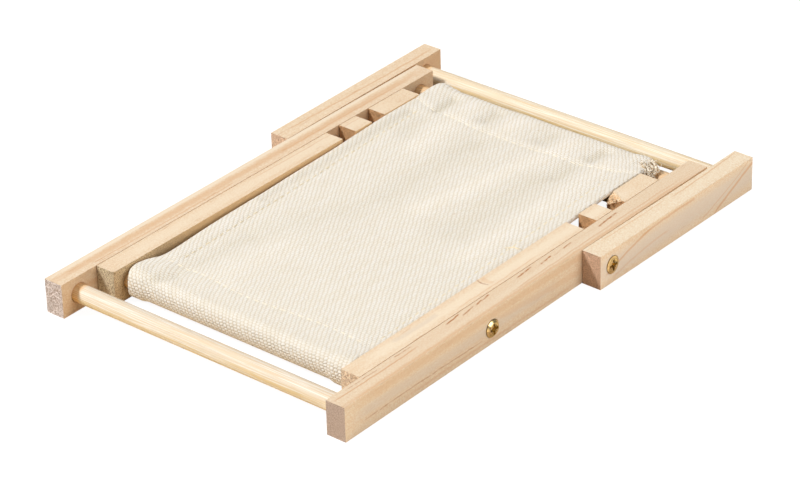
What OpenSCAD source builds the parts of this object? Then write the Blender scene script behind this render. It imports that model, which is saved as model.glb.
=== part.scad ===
// Folding miniature deck chair, shown folded flat with its canvas side up.
// X runs across the chair, Y from the foot end to the far end, Z up.
// The origin is at the middle of the underside.

/* [Rails] */
// Length of the long back rails
back_rail_l = 152; // [148:0.5:156]
// Length of the seat rails
seat_rail_l = 125.2; // [124:0.1:126]
// Length of the prop rails
prop_rail_l = 68.5; // [66:0.5:72]
// Height of every rail
rail_h = 10; // [9.5:0.1:11]
// Thickness of every rail
rail_t = 6; // [5.5:0.1:6.1]
// Width across the outer faces of the back rails
back_w = 102; // [96:1:110]
// Gap between a back rail and a seat rail
seat_gap = 0.2; // [0.15:0.05:0.5]
// Gap between a back rail and a prop rail
prop_gap = 0.2; // [0.15:0.05:0.5]
// Angle by which each prop rail splays outwards from its hinge, in degrees
prop_splay = 0.6; // [0:0.1:0.8]
// Radius of the worn inner corner at the near end of the left seat rail
worn_corner_r = 1; // [0.5:0.1:2]

/* [Places along the length, from the foot end, and heights] */
// Near end of the seat rails
seat_rail_at = 13; // [12:0.1:14]
// Near end of the prop rails
prop_rail_at = 95.5; // [94:0.1:96]
// Hinge between back frame and seat frame
seat_pivot_at = 57.7; // [56:0.1:60]
// Hinge between back frame and prop frame
prop_pivot_at = 100.6; // [99.6:0.1:101.6]
// Height of the hinge between back frame and seat frame
seat_pivot_h = 4.5; // [4.2:0.1:5.8]
// Height of the hinge between back frame and prop frame
prop_pivot_h = 5.4; // [4.2:0.1:5.8]
// Foot bar of the back frame
foot_bar_at = 6.2; // [5:0.1:7]
// Front bar of the seat frame, inside the canvas sleeve
front_bar_at = 19.4; // [18.5:0.1:20.5]
// Rear bar of the seat frame, under the canvas
rear_bar_at = 131.5; // [130:0.1:132]
// Top bar of the back frame, inside the canvas sleeve
top_bar_at = 145.9; // [145:0.1:147]
// Bar of the prop frame
prop_bar_at = 156.7; // [155:0.1:158]
// Notch nearer the hinge
notch_1_at = 107.5; // [106:0.1:109]
// Notch nearer the rear bar
notch_2_at = 120.1; // [119:0.1:121]

/* [Bars and notches] */
// Diameter of the dowel bars
bar_d = 5.2; // [5:0.1:5.4]
// Diameter of the blind sockets for the bars
socket_d = 5.3; // [5.3:0.1:5.6]
// Depth of the blind sockets
socket_depth = 4; // [3:0.1:4.5]
// Width of the broken edge round a socket's mouth
socket_edge = 0.3; // [0:0.1:0.4]
// Width of a notch
notch_w = 5.6; // [5.5:0.1:6]
// Depth of a notch
notch_depth = 5.5; // [5:0.1:6]
// Length of the chip broken out beside the right rear notch, along the rail
chip_l = 3; // [1:0.1:4]
// Width of the chip, across the rail
chip_w = 5.2; // [2:0.1:5.5]
// Depth of the chip at the rail's inner face
chip_depth = 3; // [1:0.1:4]

/* [Screws] */
// Diameter of the screw's thread and shank
screw_d = 2.5; // [2.2:0.1:2.8]
// Diameter of the screw's head
screw_head_d = 5.1; // [4.8:0.1:5.2]
// How far the rounded heads of the seat pivots stand out of the rail
seat_screw_proud = 0.7; // [0.2:0.05:0.8]
// How far the rounded heads of the prop pivots stand out of the rail
prop_screw_proud = 0.4; // [0.2:0.05:0.8]
// Length of the screw below the rail's face
screw_l = 11; // [10:0.5:11.5]
// Radial clearance where the rail turns on the screw
screw_slack = 0.05; // [0.03:0.01:0.1]

/* [Canvas sling] */
// Thickness of the canvas
canvas_t = 0.8; // [0.6:0.1:0.8]
// Half the width of the sling
sling_half_w = 38; // [37:0.1:38.3]
// Inner radius of the sewn sleeves
sleeve_r = 2.9; // [2.9:0.05:3]
// Distance from the front bar to its row of stitches
lower_hem = 8; // [7:0.5:9]
// How far that row wanders to each side
lower_hem_wave = 0.8; // [0:0.1:1]
// Distance from the top bar to where its sleeve closes
upper_hem = 10; // [9:0.1:10.5]
// Distance from the top bar to the middle of its row of stitches
upper_row = 13; // [12:0.1:14]
// How far that row bends towards the top bar at its ends
upper_hem_bow = 5; // [0:0.1:6]
// Distance of the side hems' stitches from the middle
side_row_x = 33; // [32:0.1:34]
// Raw edge of canvas beyond the stitches
hem_tail = 1.4; // [1:0.1:1.5]
// Where the seat panel stops short of the hinge
seat_panel_short = 0.5; // [0.4:0.1:1]
// Where the back panel starts beyond the hinge
back_panel_start = 3.6; // [3.5:0.1:5]
// Diameter of the sewing thread
thread_d = 0.35; // [0.3:0.05:0.5]
// Distance from one stitch to the next
stitch_pitch = 2.8; // [2.4:0.1:3.2]
// Length of one stitch
stitch_l = 2.1; // [1.8:0.1:2.2]

/* [Hidden] */
$fn = 48;

eps = 0.5;
total_l = prop_rail_at + prop_rail_l;
origin_at = total_l / 2;
mid_h = rail_h / 2;

back_inner_x = back_w / 2 - rail_t;
back_outer_x = back_w / 2;
seat_outer_x = back_inner_x - seat_gap;
seat_inner_x = seat_outer_x - rail_t;
prop_inner_x = back_outer_x + prop_gap;
prop_outer_x = prop_inner_x + rail_t;
prop_bar_inner_x = prop_inner_x + (prop_bar_at - prop_pivot_at) * tan(prop_splay);

bar_end_slack = 0.2;
hole_past_tip = 0.5;
countersink_slack = 0.1;
screw_tip_r = 0.3;
screw_dome_inset = 0.7;
screw_rim = 0.15;
recess_depth = 1.2;
recess_arm_w = 0.8;
recess_arm_l = 3.2;
recess_tick_w = 0.3;
recess_tick_l = 2.6;
side_row_margin = 2;
sleeve_outer_r = sleeve_r + canvas_t;
thread_lift = 0.03;
merge = 0.002;
cut_overlap = 0.01;

pine = [0.93, 0.82, 0.67];
birch = [0.96, 0.87, 0.68];
brass = [0.78, 0.66, 0.36];
cream = [0.93, 0.91, 0.85];
thread_cream = [0.95, 0.91, 0.8];

// Moves its child from a distance along the chair to the part's frame.
module at(along) {
    translate([0, along - origin_at, 0]) children();
}

// A cylinder or cone along X from one x to another, at mid height unless another is given.
module cross_cylinder(along, x_from, x_to, r_from, r_to, height = mid_h) {
    at(along) translate([x_from, 0, height]) rotate([0, 90, 0])
        cylinder(h = x_to - x_from, r1 = r_from, r2 = r_to);
}

// The right-hand side as it is, or mirrored to the left.
module on_side(left) {
    mirror([left ? 1 : 0, 0, 0]) children();
}

module rail_blank(along, x_inner, length) {
    at(along) translate([x_inner, 0, 0]) cube([rail_t, length, rail_h]);
}

// Blind hole for a bar, open at the rail's inner face, with its edge broken.
module socket(along, x_inner) {
    r = socket_d / 2;
    cross_cylinder(along, x_inner - eps, x_inner + socket_depth, r, r);
    cross_cylinder(along, x_inner - eps, x_inner + socket_edge,
        r + socket_edge + eps, r);
}

// Hole that turns on the screw, with a countersink at the rail's outer face.
module running_hole(along, height, x_inner, x_outer) {
    shank_r = screw_d / 2 + screw_slack;
    head_r = screw_head_d / 2 + countersink_slack;
    cross_cylinder(along, x_inner - eps, x_outer + eps, shank_r, shank_r, height);
    cross_cylinder(along, x_outer - (head_r - shank_r), x_outer, shank_r, head_r, height);
    cross_cylinder(along, x_outer - cut_overlap, x_outer + eps, head_r, head_r, height);
}

// Blind hole that the screw's thread has cut in the inner rail.
module threaded_hole(along, height, x_face, bite) {
    r = screw_d / 2;
    cross_cylinder(along, x_face - bite - hole_past_tip, x_face + eps, r, r, height);
}

module notch(along) {
    at(along - notch_w / 2) translate([seat_inner_x - eps, 0, rail_h - notch_depth])
        cube([rail_t + 2 * eps, notch_w, notch_depth + eps]);
}

module back_rail(left) {
    color(pine) on_side(left) difference() {
        rail_blank(0, back_inner_x, back_rail_l);
        socket(foot_bar_at, back_inner_x);
        socket(top_bar_at, back_inner_x);
        running_hole(seat_pivot_at, seat_pivot_h, back_inner_x, back_outer_x);
        threaded_hole(prop_pivot_at, prop_pivot_h, back_outer_x, screw_l - rail_t - prop_gap);
    }
}

module seat_rail(left) {
    on_side(left) difference() {
        rail_blank(seat_rail_at, seat_inner_x, seat_rail_l);
        socket(front_bar_at, seat_inner_x);
        socket(rear_bar_at, seat_inner_x);
        threaded_hole(seat_pivot_at, seat_pivot_h, seat_outer_x, screw_l - rail_t - seat_gap);
        notch(notch_1_at);
        notch(notch_2_at);
    }
}

// What is missing from a square corner whose edge is rounded to the given radius.
module corner_waste(r) {
    difference() {
        translate([-eps, -eps, -eps]) cube([r + eps, r + eps, rail_h + 2 * eps]);
        translate([r, r, -2 * eps]) cylinder(h = rail_h + 4 * eps, r = r);
    }
}

module seat_rail_left() {
    color(pine) difference() {
        seat_rail(true);
        mirror([1, 0, 0]) at(seat_rail_at) translate([seat_inner_x, 0, 0])
            corner_waste(worn_corner_r);
    }
}

// Block above a sloping plane. The plane meets the rail's top along the chip's slanted edge,
// and the inner face at the chip's depth, where it starts at the notch's far wall.
module chip_waste() {
    slope = [1 / chip_w, 1 / chip_l, -1 / chip_depth];
    tilt = acos(-slope.z / norm(slope));
    turn = atan2(-slope.y, -slope.x);
    reach = 2 * chip_l;
    at(notch_2_at + notch_w / 2) translate([seat_inner_x, 0, rail_h - chip_depth])
        rotate([0, tilt, turn]) translate([-reach, -reach, 0])
            cube([reach + eps, reach + chip_w, chip_depth]);
}

module seat_rail_right() {
    color(pine) difference() {
        seat_rail(false);
        chip_waste();
    }
}

module prop_rail(left) {
    color(pine) on_side(left) difference() {
        at(prop_pivot_at) translate([prop_inner_x, 0, 0]) rotate([0, 0, -prop_splay])
            translate([0, prop_rail_at - prop_pivot_at, 0]) cube([rail_t, prop_rail_l, rail_h]);
        running_hole(prop_pivot_at, prop_pivot_h, prop_inner_x, prop_outer_x);
        socket(prop_bar_at, prop_bar_inner_x);
    }
}

// A dowel whose ends sit in the sockets of two rails.
module bar(along, x_inner) {
    half_l = x_inner + socket_depth - bar_end_slack;
    color(birch) cross_cylinder(along, -half_l, half_l, bar_d / 2, bar_d / 2);
}

// Cross recess with four fine ticks between its arms.
module cross_recess() {
    for (turn = [0, 90]) rotate([turn, 0, 0]) {
        translate([-recess_depth, -recess_arm_l / 2, -recess_arm_w / 2])
            cube([recess_depth + eps, recess_arm_l, recess_arm_w]);
        rotate([45, 0, 0]) translate([-recess_depth / 3, -recess_tick_l / 2, -recess_tick_w / 2])
            cube([recess_depth / 3 + eps, recess_tick_l, recess_tick_w]);
    }
}

// Countersunk wood screw along X, its head at the outer face of a right-hand rail.
module pivot_screw(along, height, x_outer, proud, left) {
    shank_r = screw_d / 2;
    head_r = screw_head_d / 2;
    tip_x = x_outer - screw_l;
    rim_x = x_outer + screw_rim;
    color(brass) on_side(left) difference() {
        union() {
            cross_cylinder(along, tip_x, tip_x + screw_d, screw_tip_r, shank_r, height);
            cross_cylinder(along, tip_x + screw_d, x_outer, shank_r, shank_r, height);
            cross_cylinder(along, x_outer - (head_r - shank_r), x_outer, shank_r, head_r, height);
            cross_cylinder(along, x_outer, rim_x, head_r, head_r, height);
            cross_cylinder(along, rim_x, x_outer + proud, head_r, head_r - screw_dome_inset,
                height);
        }
        at(along) translate([x_outer + proud, 0, height]) cross_recess();
    }
}

// Point where a line from [px, pz] touches the lower side of a circle at the origin.
function touch_point(px, pz, r) =
    let (turn = atan2(pz, px) - acos(r / norm([px, pz]))) [r * cos(turn), r * sin(turn)];

// Solid of a section in Y and Z, as wide as the sling plus an extra length on each side.
module across(extra) {
    translate([-sling_half_w - extra, 0, 0]) rotate([90, 0, 90])
        linear_extrude(height = 2 * (sling_half_w + extra)) children();
}

// Solid inside a loop that leaves the bar at its top and closes at the row of stitches.
module loop_solid(r, hem, z_close, extra) {
    line_r = r - merge;
    across(extra) circle(r = r);
    across(extra) polygon([[0, 0], [0, line_r], [hem, line_r], [hem, z_close],
        touch_point(hem, z_close, line_r)]);
}

// A panel of the sling, from its bar towards the hinge: a sleeve round the bar, the row of
// stitches with the raw edge beyond it, and the single sheet.
module panel(along, hem, panel_l, towards_foot) {
    lower = sleeve_r - canvas_t;
    color(cream) at(along) translate([0, 0, mid_h]) mirror([0, towards_foot ? 1 : 0, 0])
        difference() {
            union() {
                loop_solid(sleeve_outer_r, hem, lower, 0);
                across(0) translate([hem - eps, lower]) square([hem_tail + eps, canvas_t + eps]);
                across(0) translate([0, sleeve_r]) square([panel_l, canvas_t]);
            }
            loop_solid(sleeve_r, hem, sleeve_r - merge, eps);
        }
}

// How far the upper row of stitches bends towards the top bar at x.
function upper_bend(x) = upper_hem_bow * pow(abs(x) / sling_half_w, 2.5);

// How far the lower row of stitches wanders towards the hinge at x.
function lower_bend(x) = lower_hem_wave * cos(360 * (x - sling_half_w / 2) / sling_half_w / 1.25);

// One stitch lying on the canvas, from one point to another in X and Y.
module stitch(from, to) {
    run = to - from;
    translate([from.x, from.y - origin_at, mid_h + sleeve_outer_r + thread_d / 2 + thread_lift])
        rotate([0, 90, atan2(run.y, run.x)]) cylinder(h = norm(run), d = thread_d, $fn = 16);
}

// A row of stitches across the sling, bent in the way that "upper" says.
module stitching(along, upper) {
    count = floor((2 * sling_half_w - 2 * stitch_l) / stitch_pitch);
    row_l = (count - 1) * stitch_pitch + stitch_l;
    color(thread_cream) for (i = [0 : count - 1]) {
        x = i * stitch_pitch - row_l / 2;
        bend = [for (x_end = [x, x + stitch_l]) upper ? upper_bend(x_end) : lower_bend(x_end)];
        stitch([x, along + bend[0]], [x + stitch_l, along + bend[1]]);
    }
}

// A row of stitches along a side hem, between two places along the chair.
module side_stitching(from, to, left) {
    count = floor((to - from) / stitch_pitch);
    color(thread_cream) on_side(left) for (i = [0 : count - 1])
        stitch([side_row_x, from + i * stitch_pitch],
            [side_row_x, from + i * stitch_pitch + stitch_l]);
}

module seat_side_stitching(left) {
    side_stitching(front_bar_at + lower_hem + side_row_margin,
        seat_pivot_at - seat_panel_short - side_row_margin, left);
}

module back_side_stitching(left) {
    side_stitching(seat_pivot_at + back_panel_start + side_row_margin,
        top_bar_at - upper_hem - side_row_margin, left);
}

module back_rail_left() { back_rail(true); }
module back_rail_right() { back_rail(false); }
module prop_rail_left() { prop_rail(true); }
module prop_rail_right() { prop_rail(false); }
module foot_bar() { bar(foot_bar_at, back_inner_x); }
module top_bar() { bar(top_bar_at, back_inner_x); }
module prop_bar() { bar(prop_bar_at, prop_bar_inner_x); }
module seat_front_bar() { bar(front_bar_at, seat_inner_x); }
module seat_rear_bar() { bar(rear_bar_at, seat_inner_x); }
module seat_pivot_screw_left() { seat_pivot_screw(true); }
module seat_pivot_screw_right() { seat_pivot_screw(false); }
module prop_pivot_screw_left() { prop_pivot_screw(true); }
module prop_pivot_screw_right() { prop_pivot_screw(false); }
module lower_hem_stitching() { stitching(front_bar_at + lower_hem, false); }
module upper_hem_stitching() { stitching(top_bar_at - upper_row, true); }
module side_stitching_seat_left() { seat_side_stitching(true); }
module side_stitching_seat_right() { seat_side_stitching(false); }
module side_stitching_back_left() { back_side_stitching(true); }
module side_stitching_back_right() { back_side_stitching(false); }

module seat_pivot_screw(left) {
    pivot_screw(seat_pivot_at, seat_pivot_h, back_outer_x, seat_screw_proud, left);
}

module prop_pivot_screw(left) {
    pivot_screw(prop_pivot_at, prop_pivot_h, prop_outer_x, prop_screw_proud, left);
}

module sling_seat_panel() {
    panel(front_bar_at, lower_hem, seat_pivot_at - seat_panel_short - front_bar_at, false);
}

module sling_back_panel() {
    panel(top_bar_at, upper_hem, top_bar_at - seat_pivot_at - back_panel_start, true);
}

back_rail_left();
back_rail_right();
foot_bar();
top_bar();
prop_pivot_screw_left();
prop_pivot_screw_right();
sling_back_panel();
upper_hem_stitching();
side_stitching_back_left();
side_stitching_back_right();
seat_rail_left();
seat_rail_right();
seat_front_bar();
seat_rear_bar();
seat_pivot_screw_left();
seat_pivot_screw_right();
sling_seat_panel();
lower_hem_stitching();
side_stitching_seat_left();
side_stitching_seat_right();
prop_rail_left();
prop_rail_right();
prop_bar();
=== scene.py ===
"""Miniature folding deck chair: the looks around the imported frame.

The chair lies folded flat. X runs across it, Y from the foot end to the far end, and Z up.
Lengths are in metres. Names that end in _mm or _MM hold millimetres, for the shaders.
"""
import math
import random

import bpy
import numpy as np
from mathutils import Matrix, Vector


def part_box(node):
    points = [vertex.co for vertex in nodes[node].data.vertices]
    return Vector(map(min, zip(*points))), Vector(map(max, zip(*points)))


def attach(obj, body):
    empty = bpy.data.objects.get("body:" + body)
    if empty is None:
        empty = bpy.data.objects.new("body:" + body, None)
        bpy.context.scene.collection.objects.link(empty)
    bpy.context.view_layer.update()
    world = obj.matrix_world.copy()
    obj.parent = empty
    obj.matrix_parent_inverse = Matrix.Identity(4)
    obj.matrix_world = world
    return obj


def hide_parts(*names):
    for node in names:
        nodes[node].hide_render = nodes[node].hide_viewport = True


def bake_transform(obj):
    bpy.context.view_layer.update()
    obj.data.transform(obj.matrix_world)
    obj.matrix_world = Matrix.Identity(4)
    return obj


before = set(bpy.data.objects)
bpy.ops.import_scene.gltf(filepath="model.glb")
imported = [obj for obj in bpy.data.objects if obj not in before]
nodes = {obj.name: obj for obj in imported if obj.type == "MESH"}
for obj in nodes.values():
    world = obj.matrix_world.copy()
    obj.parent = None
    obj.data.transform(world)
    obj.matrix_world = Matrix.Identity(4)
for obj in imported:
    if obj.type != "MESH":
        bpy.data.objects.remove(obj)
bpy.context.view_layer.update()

MM = 0.001


# ---------------------------------------------------------------- places from the frame

def middle(node):
    low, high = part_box(node)
    return (low + high) / 2


def size(node):
    low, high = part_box(node)
    return high - low


front_bar, top_bar = middle("seat_front_bar"), middle("top_bar")
bar_r = size("seat_front_bar").z / 2
seat_near_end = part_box("seat_rail_left")[0].y
lower_row_y = middle("lower_hem_stitching").y
upper_row_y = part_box("upper_hem_stitching")[0].y


# ---------------------------------------------------------------- camera

def place_camera():
    """A long lens from the front right, a little rolled, looking down on the folded chair."""
    azimuth, elevation, roll = math.radians(40.445), math.radians(29.997), math.radians(-1.704)
    target = Vector((0, 9.8, 7.14)) * MM
    # How far the camera stands from the target: to its own right, upwards and back.
    aside, above, distance = -5.824 * MM, -10.118 * MM, 898.4 * MM
    back = Vector((math.sin(azimuth) * math.cos(elevation),
                   -math.cos(azimuth) * math.cos(elevation), math.sin(elevation)))
    level = Vector((math.cos(azimuth), math.sin(azimuth), 0))
    upright = back.cross(level)
    right = math.cos(roll) * level + math.sin(roll) * upright
    up = -math.sin(roll) * level + math.cos(roll) * upright
    camera = bpy.data.objects.new("camera", bpy.data.cameras.new("camera"))
    camera.data.sensor_width = 36
    camera.data.lens = 150.35
    camera.data.clip_start, camera.data.clip_end = 0.05, 20
    turned = Matrix((right, up, back)).transposed().to_4x4()
    camera.matrix_world = Matrix.Translation(
        target + right * aside + up * above + back * distance) @ turned
    bpy.context.scene.collection.objects.link(camera)
    bpy.context.scene.camera = camera


# ---------------------------------------------------------------- shader building

class Shader:
    """A material and short ways to add nodes to it."""

    def __init__(self, name):
        self.material = bpy.data.materials.new(name)
        self.material.use_nodes = True
        self.tree = self.material.node_tree
        self.tree.nodes.clear()

    def add(self, kind, inputs=None, **properties):
        made = self.tree.nodes.new("ShaderNode" + kind)
        for key, value in properties.items():
            setattr(made, key, value)
        for key, value in (inputs or {}).items():
            if isinstance(value, bpy.types.NodeSocket):
                self.tree.links.new(value, made.inputs[key])
            else:
                made.inputs[key].default_value = value
        return made

    def math(self, operation, a, b=0.0, c=0.0, clamp=False):
        return self.add("Math", {0: a, 1: b, 2: c}, operation=operation, use_clamp=clamp).outputs[0]

    def times(self, a, b, clamp=False):
        return self.math("MULTIPLY", a, b, clamp=clamp)

    def minus(self, a, b, clamp=False):
        return self.math("SUBTRACT", a, b, clamp=clamp)

    def scaled(self, value, factor, plus):
        return self.math("MULTIPLY_ADD", value, factor, plus)

    def mix(self, factor, a, b, blend="MIX"):
        a, b = ((*v, 1) if isinstance(v, tuple) else v for v in (a, b))
        return self.add("Mix", {0: factor, 6: a, 7: b}, data_type="RGBA",
                        blend_type=blend, clamp_factor=True).outputs[2]

    def tint(self, a, b):
        return self.mix(1.0, a, b, "MULTIPLY")

    def split(self, vector):
        return self.add("SeparateXYZ", {0: vector}).outputs

    def share(self, value, start, end):
        """How far value has come from start to end, from 0 to 1."""
        return self.add("MapRange", {0: value, 1: start, 2: end}).outputs[0]

    def ramp(self, value, *stops):
        """A value from 0 to 1 that follows (position, value) stops."""
        made = self.add("ValToRGB", {0: value})
        made.color_ramp.interpolation = "EASE"
        stored = made.color_ramp.elements
        while len(stored) < len(stops):
            stored.new(0.5)
        for element, (position, level) in zip(stored, stops):
            element.position = position
            element.color = (level, level, level, 1)
        return made.outputs[0]

    def noise(self, vector, scale, detail=2.0, roughness=0.5):
        """Noise of one scale, or of a scale for each axis."""
        if isinstance(scale, tuple):
            stretched = self.add("VectorMath", {0: vector, 1: scale}, operation="MULTIPLY")
            vector, scale = stretched.outputs[0], 1.0
        return self.add("TexNoise", {"Vector": vector, "Scale": scale, "Detail": detail,
                                     "Roughness": roughness}).outputs[0]

    def place_mm(self, shift=(0, 0, 0)):
        """The place on the part in millimetres, moved by shift."""
        place = self.add("TexCoord").outputs["Object"]
        return self.add("VectorMath", {0: place, 1: (1000, 1000, 1000), 2: shift},
                        operation="MULTIPLY_ADD").outputs[0]

    def finish(self, color, roughness, height, relief, **constants):
        """Ends the material: relief is the depth in metres of height's range from 0 to 1."""
        bump = self.add("Bump", {"Strength": 1.0, "Distance": relief, "Height": height}).outputs[0]
        inputs = {"Base Color": color, "Roughness": roughness, "Normal": bump}
        inputs.update({key.replace("_", " "): value for key, value in constants.items()})
        shader = self.add("BsdfPrincipled", inputs)
        self.add("OutputMaterial", {"Surface": shader.outputs[0]})
        return self.material


# ---------------------------------------------------------------- wood

MARK_COLORS = {
    "dash": (0.460, 0.190, 0.065),
    "line": (0.660, 0.350, 0.160),
    "flame": (0.630, 0.335, 0.150),
    "pale": (0.880, 0.755, 0.585),
    # orange is the colour of orange streaks in the grain, and also of painted warm shade on faces in
    # the gaps between rails.
    "orange": (0.720, 0.450, 0.245),
    # The next colour is only painted warm shade, on a rail's inner side under the sling.
    "warm_shade": (0.800, 0.520, 0.250),
    "grey": (0.700, 0.570, 0.450),
    "crack": (0.420, 0.190, 0.095),
}
# Ramp stops that turn a component of the normal into the share of a face that looks that way.
FACING = ((0.60, 0.0), (0.85, 1.0))
# A rail's worn end fades out over WORN_MM, its notches lie beyond the Y of NOTCHES_MM, and the
# bars' ends lie SOCKET_MM deep in the rails.
WORN_MM = 34.0
NOTCHES_MM = 5.0
SOCKET_MM = 4.0


def mark(s, color, shares, coordinates, wobble, kind, face, start, end, bend, half_width, strength):
    """Draws one mark of the grain. start and end are (along, beside) in millimetres on a face:
    on "top" along is Y and beside is X, and on "cross", which is the top too, the other way
    round. On "side" (both sides), "left" and "right" along is Y and beside is Z. bend is how far
    the middle of the mark bows out. Dashes and cracks are broken up, the other kinds are not."""
    x, y, z = coordinates
    along, beside = {"top": (y, x), "cross": (x, y)}.get(face, (y, z))
    share = s.share(along, start[0], end[0])
    hump = s.times(share, s.minus(1.0, share))
    centre = s.scaled(share, end[1] - start[1], start[1])
    centre = s.scaled(hump, 4 * bend, centre)
    off = s.math("ABSOLUTE", s.minus(s.math("ADD", beside, wobble), centre))
    line = s.add("MapRange", {0: off, 1: half_width, 2: half_width * 0.25},
                 interpolation_type="SMOOTHSTEP")
    within = s.times(hump, 14.0, clamp=True)
    amount = s.times(line.outputs[0], s.times(within, strength))
    amount = s.times(amount, shares["top" if face == "cross" else face])
    if kind in ("dash", "crack"):
        amount = s.times(amount, shares["breaks"], clamp=True)
    return s.mix(amount, color, MARK_COLORS[kind])


def year_rings(s, place, heart, lean, ring_mm):
    """The late wood of the year rings, which lie round the tree's middle."""
    x, y, z = s.split(place)
    wander = s.noise(place, (0.05, 0.012, 0.05), 2.0)
    wander = s.scaled(wander, 9.0, -4.5)
    dx = s.math("ADD", s.scaled(y, lean, x), s.math("ADD", wander, -heart[0]))
    dz = s.math("ADD", s.scaled(y, lean * 0.4, z), -heart[1])
    distance = s.math("SQRT", s.math("ADD", s.times(dx, dx), s.times(dz, dz)))
    ring = s.math("FRACT", s.math("DIVIDE", distance, ring_mm))
    return s.ramp(ring, (0.0, 0.25), (0.18, 0.0), (0.62, 0.06), (0.93, 0.75), (1.0, 0.2))


def end_grain(s, y, grit, pits, late_wood, end_tone, pitted, notched):
    """The colour of sawn ends: speckled, with dark pits."""
    color = s.mix(s.ramp(grit, (0.40, 0.0), (0.66, 1.0)),
                  (0.620, 0.465, 0.350), (0.740, 0.600, 0.490))
    color = s.mix(s.times(late_wood, 0.12), color, (0.560, 0.360, 0.230))
    # Painted warm shade: the notch walls beyond NOTCHES_MM are browner.
    if notched:
        end_tone = s.mix(s.share(y, 0.0, NOTCHES_MM), end_tone, (1.30, 0.98, 0.62))
    color = s.tint(color, end_tone)
    return s.mix(s.times(pits, pitted), color, (0.300, 0.170, 0.095))


def pine(name, shift, heart=(14.0, -30.0), lean=0.05, ring_mm=2.3, late=0.3, rough_end=None,
         tone=(1.0, 1.0, 1.0), top_tone=(1.0, 1.0, 1.0), end_tone=(1.04, 0.92, 0.76),
         pitted=0.6, notched=False, marks=()):
    """Planed pine with its grain along Y. shift, in millimetres, moves the grain's noise, so that
    no two rails look alike. heart is where the tree's middle lies beside the rail in X and Z, in
    millimetres, and lean is how far it wanders for each millimetre along Y. late is the strength
    of the darker late wood. rough_end is the Y of an end that is worn rough; near it the sides
    are worn and get painted warm shade. tone tints the sides and ends, top_tone the top, and
    end_tone the ends once more. pitted is the strength of the pits in the ends. notched paints
    the end grain browner beyond NOTCHES_MM, on the notch walls: painted warm shade. The sides
    are also painted a little darker and warmer than the top: painted shade."""
    s = Shader(name)
    coordinates = s.split(s.place_mm())
    place = s.place_mm(shift)
    facing = s.split(s.add("TexCoord").outputs["Normal"])
    shares = {face: s.ramp(s.math("ABSOLUTE", facing[i]), *FACING)
              for i, face in enumerate(("side", "end", "top"))}
    shares["right"] = s.ramp(facing[0], *FACING)
    shares["left"] = s.minus(shares["side"], shares["right"])

    breaks = s.noise(place, (4.5, 0.75, 4.5), 2.0, 0.6)
    shares["breaks"] = s.ramp(breaks, (0.40, 0.15), (0.52, 1.0))
    late_wood = year_rings(s, place, heart, lean, ring_mm)

    fibre = s.noise(place, (3.4, 0.22, 3.4), 4.0, 0.65)
    speckle = s.noise(place, (2.8, 1.9, 2.8), 2.0, 0.7)
    threads = s.noise(place, (7.0, 0.09, 7.0), 2.0, 0.5)
    broad = s.noise(place, (0.11, 0.020, 0.11), 3.0)
    streaks = s.noise(place, (1.5, 0.028, 1.5), 2.0, 0.5)
    dashes = s.noise(place, (2.2, 0.12, 2.2), 1.0, 0.4)
    dashes = s.ramp(dashes, (0.72, 0.0), (0.78, 1.0))

    color = s.mix(s.times(late_wood, late), (0.815, 0.640, 0.445), (0.760, 0.505, 0.290))
    color = s.mix(s.ramp(broad, (0.38, 0.0), (0.66, 0.45)), color, (0.800, 0.595, 0.400))
    color = s.mix(s.ramp(streaks, (0.52, 0.0), (0.70, 0.34)), color, (0.760, 0.520, 0.310))
    color = s.mix(s.ramp(fibre, (0.34, 0.32), (0.56, 0.0)), color, (0.720, 0.510, 0.330))
    color = s.mix(s.ramp(speckle, (0.46, 0.0), (0.66, 0.60)), color, (0.890, 0.785, 0.640))
    color = s.mix(s.ramp(speckle, (0.32, 0.50), (0.47, 0.0)), color, (0.680, 0.480, 0.310))
    color = s.mix(s.times(dashes, 0.5), color, (0.600, 0.300, 0.130))
    # Painted shade: the sides are a little darker and warmer than the top.
    color = s.mix(shares["side"], color, s.tint(color, (0.970, 0.925, 0.880)))
    wobble = s.noise(place, (0.0, 0.16, 0.0), 3.0, 0.6)
    wobble = s.scaled(wobble, 0.9, -0.45)
    for one in marks:
        color = mark(s, color, shares, coordinates, wobble, *one)

    grit = s.noise(place, 3.6, 3.0, 0.75)
    pits = s.ramp(grit, (0.41, 1.0), (0.50, 0.0))
    end_color = end_grain(s, coordinates[1], grit, pits, late_wood, end_tone, pitted, notched)
    rough = shares["end"]
    if rough_end is not None:
        end_y = rough_end / MM
        near = s.share(coordinates[1], end_y + WORN_MM, end_y + 1)
        beside = s.times(near, shares["side"])
        worn = s.mix(s.times(pits, 0.90), (1.000, 0.870, 0.610), (0.400, 0.230, 0.100))
        # Near the worn end the sides are worn too, and they are tinted more golden as painted warm
        # shade.
        worn_with_warm_shade = s.tint(worn, (1.000, 0.880, 0.760))
        color = s.mix(s.times(beside, 0.9), color, worn_with_warm_shade)
        end_color = s.mix(s.times(near, 0.90), end_color, worn)
        rough = s.math("MAXIMUM", rough, beside)
    color = s.mix(shares["end"], color, end_color)
    color = s.tint(color, s.mix(shares["top"], tone, top_tone))

    height = s.scaled(fibre, 0.6, s.times(threads, 0.4))
    height = s.minus(height, s.times(dashes, 0.8))
    height = s.scaled(speckle, 0.5, height)
    height = s.minus(height, s.times(s.times(pits, rough), 3.0))
    roughness = s.scaled(fibre, 0.2, 0.55)
    return s.finish(color, roughness, height, 0.05 * MM, Specular_IOR_Level=0.3)


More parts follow.
